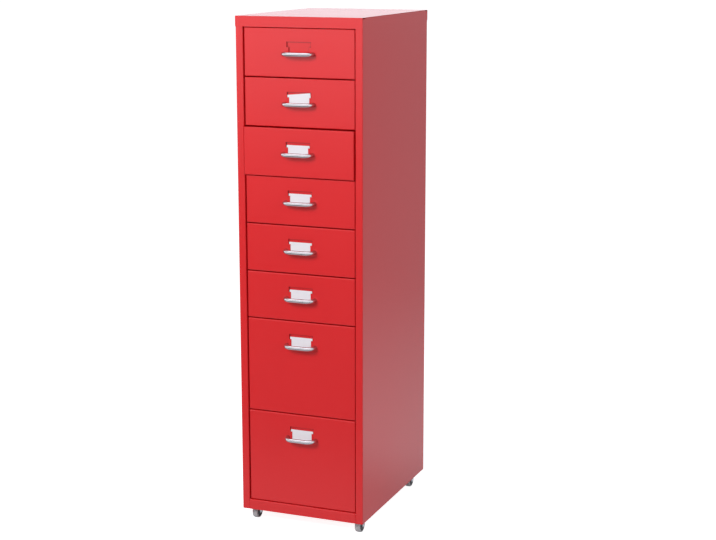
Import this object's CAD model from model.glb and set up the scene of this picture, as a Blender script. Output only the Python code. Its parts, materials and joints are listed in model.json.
import json
import math

import bmesh
import bpy
from mathutils import Matrix, Vector

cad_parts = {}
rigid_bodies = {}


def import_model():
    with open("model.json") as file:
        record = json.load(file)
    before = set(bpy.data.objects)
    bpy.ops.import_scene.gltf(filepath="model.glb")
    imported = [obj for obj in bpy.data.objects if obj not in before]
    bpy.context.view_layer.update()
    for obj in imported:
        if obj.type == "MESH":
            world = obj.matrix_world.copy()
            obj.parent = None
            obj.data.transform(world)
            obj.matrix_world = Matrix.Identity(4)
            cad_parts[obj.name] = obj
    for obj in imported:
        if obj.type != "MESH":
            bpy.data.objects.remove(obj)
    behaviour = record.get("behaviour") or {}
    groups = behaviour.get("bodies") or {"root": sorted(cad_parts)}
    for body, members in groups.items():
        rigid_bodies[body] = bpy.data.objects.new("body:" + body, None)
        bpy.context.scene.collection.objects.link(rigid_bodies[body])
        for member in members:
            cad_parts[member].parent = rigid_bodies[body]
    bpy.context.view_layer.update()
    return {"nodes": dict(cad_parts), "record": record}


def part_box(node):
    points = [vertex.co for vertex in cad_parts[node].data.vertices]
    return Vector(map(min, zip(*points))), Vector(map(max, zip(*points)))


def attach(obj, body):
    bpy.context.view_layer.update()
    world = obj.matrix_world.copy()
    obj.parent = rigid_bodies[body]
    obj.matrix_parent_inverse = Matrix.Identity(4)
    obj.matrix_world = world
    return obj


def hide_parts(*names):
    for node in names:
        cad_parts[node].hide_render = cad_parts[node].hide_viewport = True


for leftover in list(bpy.data.objects):
    bpy.data.objects.remove(leftover)

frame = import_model()
nodes = frame["nodes"]
mm = 0.001


class Wire:  # a node's output that can take part in a sum
    def __init__(self, graph, socket):
        self.graph = graph
        self.socket = socket

    def __add__(self, other):
        return self.graph.sum("ADD", self, other)

    def __sub__(self, other):
        return self.graph.sum("SUBTRACT", self, other)

    def __rsub__(self, other):
        return self.graph.sum("SUBTRACT", other, self)

    def __mul__(self, other):
        return self.graph.sum("MULTIPLY", self, other)

    __radd__ = __add__
    __rmul__ = __mul__


class Graph:  # the node tree of one material or of the world
    def __init__(self, owner):
        owner.use_nodes = True
        self.tree = owner.node_tree
        self.tree.nodes.clear()

    def add(self, kind, settings=None, inputs=None, out=0):
        node = self.tree.nodes.new("ShaderNode" + kind)
        for name, value in (settings or {}).items():
            setattr(node, name, value)
        for name, value in (inputs or {}).items():
            socket = node.inputs[name]
            if isinstance(value, Wire):
                self.tree.links.new(value.socket, socket)
            else:
                socket.default_value = value
        return Wire(self, node.outputs[out]) if len(node.outputs) else node

    def sum(self, operation, a, b):
        return self.add("Math", {"operation": operation}, {0: a, 1: b})

    def place(self, stretch=(1, 1, 1)):
        point = self.add("TexCoord", out="Object")
        return self.add("Mapping", inputs={"Vector": point, "Scale": stretch})

    def noise(self, place, scale, detail=2.0):
        return self.add("TexNoise", inputs={"Vector": place, "Scale": scale, "Detail": detail})

    def span(self, value, start, end, low, high):
        return self.add("MapRange", inputs={
            "Value": value, "From Min": start, "From Max": end, "To Min": low, "To Max": high})

    def mixture(self, share, a, b):  # of two values
        return a * share + b * (1 - share)

    def blend(self, factor, a, b):  # of two colours
        a, b = [tone if isinstance(tone, Wire) else (*tone, 1) for tone in (a, b)]
        sockets = {0: factor, 6: a, 7: b}  # where a Mix node of colours has them
        return self.add("Mix", {"data_type": "RGBA"}, sockets, out=2)

    def bump(self, height, depth):
        return self.add("Bump", inputs={"Height": height, "Distance": depth})

    def finish(self, shader):
        self.add("OutputMaterial", inputs={"Surface": shader})


def newMaterial(name):
    material = bpy.data.materials.new(name)
    return material, Graph(material)


paint = {
    "colour": (0.700, 0.015, 0.018),
    "shade": (0.670, 0.013, 0.016),
    "roughness": 0.24,
    "roughnessSpread": 0.06,
    "broadScale": 5,
    "peelScale": 420,  # orange peel, waves per metre
    "peelDepth": 0.035 * mm,
    "grainScale": 2600,
    "broadShare": 0.7,  # of the broad clouds in the colour, against the grain
    "grainBump": 0.15,  # height of the grain against the peel
    "ior": 1.5,
    "corner": (0.21, 0.003, 0.004),  # thick paint and dust in the inner corners
    "cornerReach": 4 * mm,
    "cornerSpan": (0.45, 0.95),  # share of free room from the darkest place to a bare one
}


def makePaint():
    material, g = newMaterial("redPaint")
    place = g.place()
    broad = g.noise(place, paint["broadScale"])
    peel = g.noise(place, paint["peelScale"], 1)
    grain = g.noise(place, paint["grainScale"], 0)
    tone = g.blend(g.mixture(paint["broadShare"], broad, grain), paint["shade"], paint["colour"])
    room = g.add("AmbientOcclusion", {"only_local": True, "samples": 8},
                 {"Distance": paint["cornerReach"]}, out=1)
    g.finish(g.add("BsdfPrincipled", inputs={
        "Base Color": g.blend(g.span(room, *paint["cornerSpan"], 0, 1), paint["corner"], tone),
        "Roughness": paint["roughness"] + (broad + grain - 1) * paint["roughnessSpread"],
        "IOR": paint["ior"],
        "Normal": g.bump(peel + grain * paint["grainBump"], paint["peelDepth"]),
    }))
    return material


zinc = {
    "light": (0.70, 0.71, 0.73),
    "dark": (0.50, 0.51, 0.53),
    "roughness": 0.34,
    "roughnessSpread": 0.2,
    "spangleScale": 260,
    "spangleShare": 0.5,
    "grainScale": 1800,
    "grainDepth": 0.02 * mm,
}


def makeZinc():
    material, g = newMaterial("zincPlate")
    place = g.place()
    spangle = g.add("TexVoronoi", inputs={"Vector": place, "Scale": zinc["spangleScale"]})
    grain = g.noise(place, zinc["grainScale"], 3)
    g.finish(g.add("BsdfPrincipled", inputs={
        "Base Color": g.blend(g.mixture(zinc["spangleShare"], spangle, grain), zinc["dark"], zinc["light"]),
        "Metallic": 1.0,
        "Roughness": zinc["roughness"] + (grain - 0.5) * zinc["roughnessSpread"],
        "Normal": g.bump(grain, zinc["grainDepth"]),
    }))
    return material


chrome = {
    "light": (0.58, 0.55, 0.56),
    "dark": (0.46, 0.435, 0.445),
    "roughness": 0.14,
    "roughnessSpread": 0.12,
    "lineScale": 900,  # fine draw lines along the rod
    "lineStretch": (0.05, 1, 1),
    "lineDepth": 0.01 * mm,
    "lineShare": 0.6,
    "hazeScale": 60,
}


def makeChrome():
    material, g = newMaterial("chromedRod")
    lines = g.noise(g.place(chrome["lineStretch"]), chrome["lineScale"])
    haze = g.noise(g.place(), chrome["hazeScale"])
    g.finish(g.add("BsdfPrincipled", inputs={
        "Base Color": g.blend(g.mixture(chrome["lineShare"], lines, haze), chrome["dark"], chrome["light"]),
        "Metallic": 1.0,
        "Roughness": chrome["roughness"] + (haze - 0.5) * chrome["roughnessSpread"],
        "Normal": g.bump(lines, chrome["lineDepth"]),
    }))
    return material


card = {
    "light": (0.87, 0.86, 0.90),
    "dark": (0.79, 0.77, 0.82),
    "roughness": 0.52,
    "roughnessSpread": 0.1,
    "fibreScale": 1500,
    "fibreStretch": (1, 1, 0.35),
    "fibreDepth": 0.04 * mm,
    "fibreShare": 0.5,
    "cloudScale": 35,
    "cornerRadius": 1.2 * mm,
    "bow": 0.35 * mm,  # how far the middle curls forward
    "parts": 10,  # strips that the bow is made of
}


def makeCard():
    material, g = newMaterial("labelCard")
    fibre = g.noise(g.place(card["fibreStretch"]), card["fibreScale"], 4)
    cloud = g.noise(g.place(), card["cloudScale"])
    g.finish(g.add("BsdfPrincipled", inputs={
        "Base Color": g.blend(g.mixture(card["fibreShare"], fibre, cloud), card["dark"], card["light"]),
        "Roughness": card["roughness"] + (fibre - 0.5) * card["roughnessSpread"],
        "Normal": g.bump(fibre, card["fibreDepth"]),
    }))
    return material


wheel = {
    "tread": ((0.40, 0.40, 0.41), (0.56, 0.56, 0.57)),
    "core": ((0.11, 0.11, 0.115), (0.19, 0.19, 0.195)),
    "roughness": 0.48,
    "roughnessSpread": 0.25,
    "grainScale": 1400,
    "grainDepth": 0.04 * mm,
    "scuffScale": 140,
    "scuffShare": 0.7,
    "sides": 72,
    "treadThickness": 3.2 * mm,
    "half": 6 * mm,  # half the tread's width
    "edgeRadius": 1.7 * mm,
    "edgeTurn": 80,  # degrees that the rounded edge turns through
    "crown": 0.35 * mm,  # how much smaller the tread's radius is at its sides
    "crownReach": 0.7,  # how far out the tread has come down by that, as a share of half its width
    "hubRadius": 5.0 * mm,
    "axleRadius": 2.1 * mm,
    "webSink": 1.8 * mm,
    "coreSink": 0.2 * mm,  # how far the core's rim lies inside the tread's side
    "lipWidth": 0.8 * mm,  # flat part of the core's rim
    "lipFoot": 1.5 * mm,  # and the rim with its rounded foot
    "fillet": 0.5 * mm,
    "ribs": 6,
    "ribWidth": 1.3 * mm,
    "ribHeight": 1.3 * mm,
}


def makeWheelPlastic(name, tones):
    material, g = newMaterial(name)
    place = g.place()
    grain = g.noise(place, wheel["grainScale"], 3)
    scuff = g.noise(place, wheel["scuffScale"], 4)
    g.finish(g.add("BsdfPrincipled", inputs={
        "Base Color": g.blend(g.mixture(wheel["scuffShare"], scuff, grain), *tones),
        "Roughness": wheel["roughness"] + (scuff - 0.5) * wheel["roughnessSpread"],
        "Normal": g.bump(grain, wheel["grainDepth"]),
    }))
    return material


finishes = {
    "red_paint": makePaint(),
    "zinc_plated_steel": makeZinc(),
    "chrome": makeChrome(),
    "label_card": makeCard(),
    "castor_wheel_grey": makeWheelPlastic("wheelTread", wheel["tread"]),
}
wheelCore = makeWheelPlastic("wheelCore", wheel["core"])
print("finishes made:", len(finishes) + 1)

slotOf = {part["node"]: part["material_slot"] for part in frame["record"]["subparts"]}
for name, node in nodes.items():
    for socket in node.material_slots:
        socket.material = finishes[slotOf[name]]
print("finishes given to the packed nodes")


smoothing = {
    "merge": 0.002 * mm,  # corners closer than this are one
    "sharp": 35,  # degrees from which an edge stays sharp
}


def bodyOf(node):
    bodies = frame["record"]["behaviour"]["bodies"]
    return next(body for body, members in bodies.items() if node in members)


def addPiece(name, bm, standsFor, material=None, instead=True):
    bmesh.ops.remove_doubles(bm, verts=bm.verts, dist=smoothing["merge"])
    bmesh.ops.recalc_face_normals(bm, faces=bm.faces)
    for face in bm.faces:
        face.smooth = True
    for edge in bm.edges:
        edge.smooth = edge.is_manifold and edge.calc_face_angle() < math.radians(smoothing["sharp"])
    mesh = bpy.data.meshes.new(name)
    bm.to_mesh(mesh)
    bm.free()
    slot = slotOf[standsFor]
    mesh.materials.append(material or finishes[slot])
    piece = bpy.data.objects.new(name, mesh)
    bpy.context.scene.collection.objects.link(piece)
    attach(piece, bodyOf(standsFor))
    if instead:
        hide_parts(standsFor)
    return piece


def solidsOf(node):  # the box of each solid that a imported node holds
    bm = bmesh.new()
    bm.from_mesh(nodes[node].data)
    bmesh.ops.remove_doubles(bm, verts=bm.verts, dist=smoothing["merge"] / 2)
    waiting = set(bm.verts)
    boxes = []
    while waiting:
        front = [waiting.pop()]
        corners = []
        while front:
            vert = front.pop()
            corners.append(vert.co.copy())
            for edge in vert.link_edges:
                other = edge.other_vert(vert)
                if other in waiting:
                    waiting.remove(other)
                    front.append(other)
        low = Vector(map(min, zip(*corners)))
        high = Vector(map(max, zip(*corners)))
        boxes.append((low, high))
    bm.free()
    return boxes


screw = {
    "headRadius": 3.6 * mm,
    "headHeight": 1.8 * mm,
    "dome": 0.7 * mm,
    "rim": 0.35 * mm,
    "slotHalf": 0.45 * mm,  # cross recess
    "slotReach": 1.9 * mm,
    "slotDepth": 1.1 * mm,
    "slotTaper": 0.75,
    "bodyShank": 1.95 * mm,  # radius of the shank in the cabinet
    "handleShank": 1.65 * mm,  # and behind a handle
    "sides": 24,  # of a shank
    "tip": 0.6 * mm,  # how much thinner the shank is at its end
    "alike": 0.05 * mm,  # widths that differ by less are the same
}


def makeHead():  # pan head on the plane z = 0, with a cross recess in its top
    lines = [-screw["headRadius"], -screw["slotReach"], -screw["slotHalf"]]
    lines += [-line for line in reversed(lines)]
    cells = len(lines) - 1
    bm = bmesh.new()
    bmesh.ops.create_grid(bm, x_segments=cells, y_segments=cells, size=1)
    for vert in bm.verts:
        column, row = [round((vert.co[axis] + 1) * cells / 2) for axis in (0, 1)]
        vert.co.x = lines[column]
        vert.co.y = lines[row]
        if vert.is_boundary:
            vert.co = vert.co.normalized() * screw["headRadius"]
        outness = vert.co.length / screw["headRadius"]
        vert.co.z = screw["headHeight"] - screw["dome"] * outness ** 2
    rim = [edge for edge in bm.edges if edge.is_boundary]
    cross = [face for face in bm.faces
             if min(abs(c) for c in face.calc_center_median().xy) < screw["slotHalf"]
             and face.calc_center_median().length < math.hypot(screw["slotReach"], screw["headHeight"])]
    skirt = bmesh.ops.extrude_edge_only(bm, edges=rim)["geom"]
    for item in skirt:
        if isinstance(item, bmesh.types.BMVert):
            item.co.z = 0
    bmesh.ops.holes_fill(bm, edges=[edge for edge in bm.edges if edge.is_boundary], sides=0)
    bmesh.ops.bevel(bm, geom=rim, offset=screw["rim"], segments=3, profile=0.5,
                    affect="EDGES", material=-1)
    sunk = bmesh.ops.extrude_face_region(bm, geom=[face for face in cross if face.is_valid])["geom"]
    for item in sunk:
        if isinstance(item, bmesh.types.BMVert):
            item.co.x *= screw["slotTaper"]
            item.co.y *= screw["slotTaper"]
            item.co.z -= screw["slotDepth"]
    bmesh.ops.delete(bm, geom=[face for face in cross if face.is_valid], context="FACES")
    return bm


def makeScrews(node, shankRadius):
    head = makeHead()
    headMesh = bpy.data.meshes.new("screwHead")
    head.to_mesh(headMesh)
    head.free()
    bm = bmesh.new()
    for low, high in solidsOf(node):
        size = high - low
        middle = (low + high) / 2
        upright = abs(size.x - size.y) < screw["alike"]
        if upright:  # goes up through a castor's plate
            turn = Matrix.Rotation(math.pi, 4, "X")
            foot = Vector((middle.x, middle.y, low.z + screw["headHeight"]))
        else:  # goes forward from the back of a sheet
            turn = Matrix.Rotation(-math.pi / 2, 4, "X")
            foot = Vector((middle.x, high.y - screw["headHeight"], middle.z))
        shank = (size.z if upright else size.y) - screw["headHeight"]
        before = set(bm.verts)
        bm.from_mesh(headMesh)
        bmesh.ops.create_cone(
            bm, cap_ends=True, segments=screw["sides"], depth=shank,
            radius1=shankRadius - screw["tip"], radius2=shankRadius,
            matrix=Matrix.Translation((0, 0, -shank / 2)))
        fresh = [vert for vert in bm.verts if vert not in before]
        bmesh.ops.transform(bm, matrix=Matrix.Translation(foot) @ turn, verts=fresh)
    bpy.data.meshes.remove(headMesh)
    addPiece(node + "_heads", bm, node)


for name in nodes:
    if name.endswith("screws"):
        makeScrews(name, screw["bodyShank" if name == "body_screws" else "handleShank"])
print("screws made")


def spinOutline(bm, corners, middle):
    # a closed outline, given as (x, radius) from the axle, turned about the axle
    verts = [bm.verts.new(middle + Vector((x, 0, radius))) for x, radius in corners]
    edges = [bm.edges.new((verts[k - 1], verts[k])) for k in range(len(verts))]
    bmesh.ops.spin(bm, geom=verts + edges, cent=middle, axis=(1, 0, 0), angle=2 * math.pi,
                   steps=wheel["sides"], use_merge=True)


def arc(centre, radius, start, end, steps=5):  # points of (x, radius), angles in degrees
    turns = [math.radians(start + (end - start) * k / steps) for k in range(steps + 1)]
    return [(centre[0] + radius * math.cos(a), centre[1] + radius * math.sin(a)) for a in turns]


def makeTread(node):
    low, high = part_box(node)
    middle = (Vector(low) + Vector(high)) / 2
    outer = (high[2] - low[2]) / 2
    half = wheel["half"]
    inner = outer - wheel["treadThickness"]
    edge = wheel["edgeRadius"]
    side = outer - wheel["crown"]
    reach = wheel["crownReach"]
    crown = [(x * half, outer - wheel["crown"] * (x / reach) ** 2) for x in (reach / 2, 0, -reach / 2)]
    right = arc((half - edge, side - edge), edge, 0, wheel["edgeTurn"])
    left = [(-x, radius) for x, radius in reversed(right)]
    bm = bmesh.new()
    spinOutline(bm, [(half, inner)] + right + crown + left + [(-half, inner)], middle)
    addPiece(node + "_tread", bm, node)


def makeCore(node):
    low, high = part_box(node)
    middle = (Vector(low) + Vector(high)) / 2
    rim = (high[2] - low[2]) / 2 - wheel["treadThickness"]
    hubHalf = (high[0] - low[0]) / 2
    half = wheel["half"]
    web = half - wheel["webSink"]
    hub = wheel["hubRadius"]
    fillet = wheel["fillet"]
    right = [(hubHalf, wheel["axleRadius"])]
    right += arc((hubHalf - fillet, hub - fillet), fillet, 0, 90)
    right += arc((web + fillet, hub + fillet), fillet, 270, 180)
    right += arc((web + fillet, rim - wheel["lipFoot"]), fillet, 180, 90)
    lip = half - wheel["coreSink"]
    right += [(lip, rim - wheel["lipWidth"]), (lip, rim)]
    left = [(-x, radius) for x, radius in reversed(right)]
    bm = bmesh.new()
    spinOutline(bm, right + left, middle)
    reach = rim - hub - fillet
    for k in range(wheel["ribs"]):
        turn = Matrix.Rotation(2 * math.pi * k / wheel["ribs"], 4, "X")
        for side in (1, -1):
            shift = Matrix.Translation((side * web, 0, hub + reach / 2 - fillet / 2))
            stretch = Matrix.Diagonal((2 * wheel["ribHeight"], wheel["ribWidth"], reach, 1))
            spot = Matrix.Translation(middle) @ turn @ shift @ stretch
            rib = bmesh.ops.create_cube(bm, size=1, matrix=spot)
            edges = {edge for vert in rib["verts"] for edge in vert.link_edges}
            bmesh.ops.bevel(bm, geom=list(edges), offset=fillet / 2, segments=2, profile=0.5,
                            affect="EDGES", material=-1)
    addPiece(node + "_core", bm, node, wheelCore)


for name in nodes:
    if name.endswith("_wheel"):
        makeTread(name)
        makeCore(name)
print("castor wheels made")


def makeLabel(node, width, height, thickness):
    low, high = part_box(node)
    middle = (Vector(low) + Vector(high)) / 2
    tilt = math.asin((high[2] - low[2]) / math.hypot(width, height)) - math.atan2(height, width)
    bm = bmesh.new()
    bmesh.ops.create_grid(bm, x_segments=1, y_segments=1, size=0.5)
    bmesh.ops.transform(bm, verts=bm.verts, matrix=Matrix.Rotation(math.pi / 2, 4, "X")
                        @ Matrix.Diagonal((width, height, 1, 1)))
    bmesh.ops.bevel(bm, geom=bm.verts, offset=card["cornerRadius"], segments=4, profile=0.5,
                    affect="VERTICES", material=-1)
    sheet = bmesh.ops.extrude_face_region(bm, geom=bm.faces[:])["geom"]
    fresh = [item for item in sheet if isinstance(item, bmesh.types.BMVert)]
    bmesh.ops.translate(bm, verts=fresh, vec=(0, thickness, 0))
    for k in range(1, card["parts"]):
        x = width * (k / card["parts"] - 0.5)
        bmesh.ops.bisect_plane(bm, geom=bm.verts[:] + bm.edges[:] + bm.faces[:],
                               plane_co=(x, 0, 0), plane_no=(1, 0, 0))
    for vert in bm.verts:
        vert.co.y -= thickness / 2 + card["bow"] * (1 - (2 * vert.co.x / width) ** 2)
    place = Matrix.Translation(middle) @ Matrix.Rotation(-tilt, 4, "Y")
    bmesh.ops.transform(bm, matrix=place, verts=bm.verts)
    addPiece(node + "_card", bm, node)


straightLow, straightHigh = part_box("drawer_3_label")
cardSize = [straightHigh[axis] - straightLow[axis] for axis in (0, 2, 1)]
for name in nodes:
    if name.endswith("_label"):
        makeLabel(name, *cardSize)
print("label cards made")


seam = {
    "start": 123.3 * mm,  # from the cabinet's middle, where the bottom rail ends
    "end": 124.5 * mm,  # in the rounded edge of the jamb
    "sink": 0.75 * mm,  # how far the filling lies behind the rail's face
    "thickness": 0.4 * mm,
    "clear": 1.6 * mm,  # left open at the rail's rounded upper edge
}


def fillSeams():  # paint that has run over the welds at the ends of the bottom rail
    low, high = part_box("bottom_panel")
    width = seam["end"] - seam["start"]
    height = high[2] - low[2] - seam["clear"]
    bm = bmesh.new()
    for side in (-1, 1):
        middle = (side * (seam["start"] + width / 2), low[1] + seam["sink"] + seam["thickness"] / 2,
                  low[2] + height / 2)
        spot = Matrix.Translation(middle) @ Matrix.Diagonal((width, seam["thickness"], height, 1))
        bmesh.ops.create_cube(bm, size=1, matrix=spot)
    addPiece("bottom_rail_welds", bm, "bottom_panel", instead=False)


fillSeams()
print("seams filled")


stage = {
    "floorHalf": 30,
    "floorColour": (0.80, 0.79, 0.83),
    "floorGlow": 0.90,  # what the eye sees on top of the floor's own light
    "nearMirror": 0.60,  # brightness of the floor in reflections, beside the cabinet
    "shine": (  # what is added to it from one depth to the next, in metres behind the middle
        (-0.15, -0.3, 0.25),  # brighter just in front of the cabinet
        (-0.35, -0.9, -0.53),  # darker beyond
        (0.1, 0.4, 0.30),  # brighter behind, where the sheet's light falls
        (0.6, 2.2, -0.34),
        (-5, -15, 2.4),  # where the floor meets the studio's front wall
    ),
    "frontMirror": 0.95,  # brightness of the studio in front, which rods and folds reflect
    "horizonMirror": 2.8,  # of the foot of its wall
    "ceilingMirror": 2.7,  # and of the soft light overhead
    "leftMirror": 1.55,  # of the white sheet behind the cabinet's left side
    "rightMirror": 0.72,  # and behind its right side
    "mirrorTint": (0.95, 0.98, 1.04),
    # where the world changes, by a direction's X, Y or Z of 1 at most
    "sheetSpan": (-0.3, 0.3),  # X, from the left side's brightness to the right side's
    "behindSpan": (-0.2, 0.4),  # Y, from the studio in front to the one behind
    "wallSpan": (0.05, 0.3),  # Z, from the foot of the front wall up
    "ceilingSpan": (0.72, 0.86),  # Z, from there to the light overhead
    "softSpan": (0, 0.9),  # Z, from the soft light of the sides to that from above
    "ambient": 0.45,  # soft light from the sides
    "overhead": 0.15,  # and from straight above
}


def rays(g):  # 1 for camera rays, and 1 for mirror and glass rays
    straight, glossy, through = [g.add("LightPath", out=name) for name in
                                 ("Is Camera Ray", "Is Glossy Ray", "Is Transmission Ray")]
    return straight, g.sum("MINIMUM", glossy + through, 1)


def part(g, source, axis):
    return g.add("SeparateXYZ", inputs={"Vector": g.add("TexCoord", out=source)}, out=axis)


def makeFloor():
    material, g = newMaterial("floorWhite")
    diffuse = g.add("BsdfDiffuse", inputs={"Color": (*stage["floorColour"], 1)})
    straight, mirrored = rays(g)
    depth = part(g, "Object", "Y")
    shine = stage["nearMirror"]
    for start, end, change in stage["shine"]:
        shine = shine + g.span(depth, start, end, 0, change)
    glow = g.add("Emission", inputs={"Strength": straight * stage["floorGlow"]})
    seen = g.add("AddShader", inputs={0: diffuse, 1: glow})
    mirror = g.add("Emission", inputs={"Color": (*stage["mirrorTint"], 1), "Strength": shine})
    g.finish(g.add("MixShader", inputs={0: mirrored, 1: seen, 2: mirror}))
    mesh = bpy.data.meshes.new("floor")
    bm = bmesh.new()
    bmesh.ops.create_grid(bm, x_segments=1, y_segments=1, size=stage["floorHalf"])
    bm.to_mesh(mesh)
    bm.free()
    mesh.materials.append(material)
    floor = bpy.data.objects.new("floor", mesh)
    bpy.context.scene.collection.objects.link(floor)


def makeWorld():
    world = bpy.data.worlds.new("studio")
    bpy.context.scene.world = world
    g = Graph(world)
    straight, mirrored = rays(g)
    back = g.span(part(g, "Generated", "X"), *stage["sheetSpan"], stage["leftMirror"], stage["rightMirror"])
    behind = g.span(part(g, "Generated", "Y"), *stage["behindSpan"], 0, 1)
    height = part(g, "Generated", "Z")
    front = g.span(height, *stage["wallSpan"], stage["horizonMirror"], stage["frontMirror"])
    front = front + g.span(height, *stage["ceilingSpan"], 0, stage["ceilingMirror"] - stage["frontMirror"])
    mirror = front + (back - front) * behind
    soft = g.span(height, *stage["softSpan"], stage["ambient"], stage["overhead"])
    rest = 1 - straight - mirrored
    sky = g.add("Background", inputs={
        "Color": g.blend(mirrored, (1, 1, 1), stage["mirrorTint"]),
        "Strength": straight + mirrored * mirror + rest * soft})
    g.add("OutputWorld", inputs={"Surface": sky})


lamps = {
    "key": {"from": (-0.85, -2.67, 2.0), "to": (0, 0, 1.0), "size": 0.9, "power": 59},
    "fill": {"from": (2.2, -0.7, 1.3), "to": (0.1, 0, 0.6), "size": 1.6, "power": 13},
}


def makeLamps():
    for name, lamp in lamps.items():
        light = bpy.data.lights.new(name, "AREA")
        light.shape = "SQUARE"
        light.size = lamp["size"]
        light.energy = lamp["power"]
        holder = bpy.data.objects.new(name, light)
        aim = Vector(lamp["to"]) - Vector(lamp["from"])
        turn = aim.to_track_quat("-Z", "Y").to_matrix().to_4x4()
        holder.matrix_world = Matrix.Translation(lamp["from"]) @ turn
        holder.visible_glossy = False  # the studio's own brightness is what metal and paint mirror
        bpy.context.scene.collection.objects.link(holder)


camera = {
    "position": (1.2987, -3.1200, 1.2440),
    "yaw": 21.686,  # degrees to the left of straight ahead
    "pitch": 11.858,  # degrees down
    "roll": -0.034,
    "lens": 79.43,
    "sensor": 36,  # width in mm
}


def makeCamera():
    data = bpy.data.cameras.new("camera")
    data.lens = camera["lens"]
    data.sensor_width = camera["sensor"]
    holder = bpy.data.objects.new("camera", data)
    turn = (
        Matrix.Rotation(math.radians(camera["yaw"]), 4, "Z")
        @ Matrix.Rotation(math.radians(90 - camera["pitch"]), 4, "X")
        @ Matrix.Rotation(math.radians(camera["roll"]), 4, "Z")
    )
    holder.matrix_world = Matrix.Translation(camera["position"]) @ turn
    bpy.context.scene.collection.objects.link(holder)
    bpy.context.scene.camera = holder


makeFloor()
makeWorld()
makeLamps()
makeCamera()
bpy.context.scene.view_settings.view_transform = "Standard"
print("stage, lamps and camera made")

print("sizes written")
